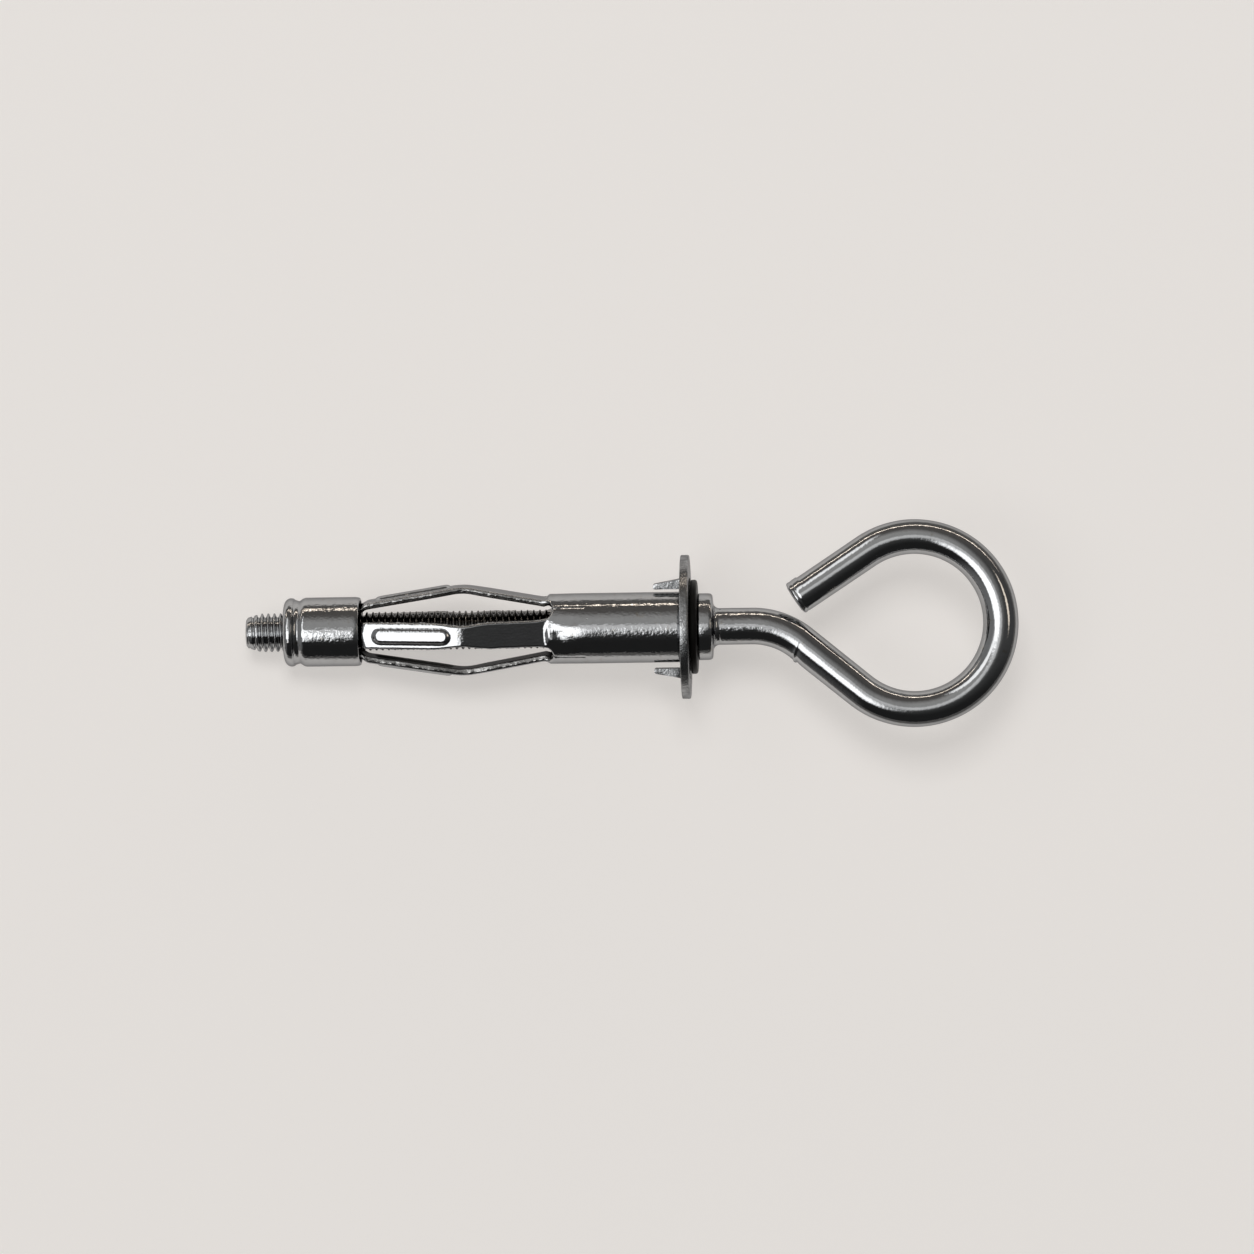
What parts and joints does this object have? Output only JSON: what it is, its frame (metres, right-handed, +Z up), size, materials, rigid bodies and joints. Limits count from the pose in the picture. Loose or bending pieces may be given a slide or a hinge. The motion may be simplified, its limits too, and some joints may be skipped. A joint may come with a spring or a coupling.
{
  "type": "steel eye anchor for hollow walls",
  "caption": "Hollow-wall anchor: an eye bolt of bent wire in a slotted steel sleeve with a clawed flange, a sealing washer and a threaded end ferrule.",
  "frame": {"origin": "middle of the anchor's box in plan, on the surface that it lies on", "axes": "+X from the thread's tip towards the eye, +Y towards the eye's free end, +Z up through the eye as the anchor lies"},
  "size_m": [0.0994, 0.0268, 0.0186],
  "materials": {
    "zinc_wire": "bright zinc plate over drawn wire, a streaky mirror",
    "zinc_sheet": "bright zinc plate over rolled sheet, finely grained",
    "zinc_plate": "zinc plate over punched sheet, satin",
    "black_rubber": "matt black rubber",
    "zinc_ferrule": "bright zinc plate over a drawn cap, finely grained",
    "nut_steel": "turned steel, hidden in the ferrule"
  },
  "bodies": {
    "anchor": {"anchor_sleeve": "zinc_sheet", "flange_plate": "zinc_plate", "end_ferrule": "zinc_ferrule", "threaded_nut": "nut_steel"},
    "washer": {"sealing_washer": "black_rubber"},
    "eye_bolt": {"eye_bolt": "zinc_wire"}
  },
  "joints": [
    {"name": "bolt_travel", "type": "slide", "parent": "anchor", "child": "washer", "axis": [0.9955, 0, 0.0952], "range_m": [0, 0.0088]},
    {"name": "bolt_turn", "type": "hinge", "parent": "washer", "child": "eye_bolt", "pos_m": [0.00815, -0.00008, 0.00938], "axis": [0.9955, 0, 0.0952], "range_deg": [0, 3960]}
  ],
  "couplings": [
    {"joint": "bolt_travel", "follows": "bolt_turn", "m_per_rad": 0.00012732}
  ]
}
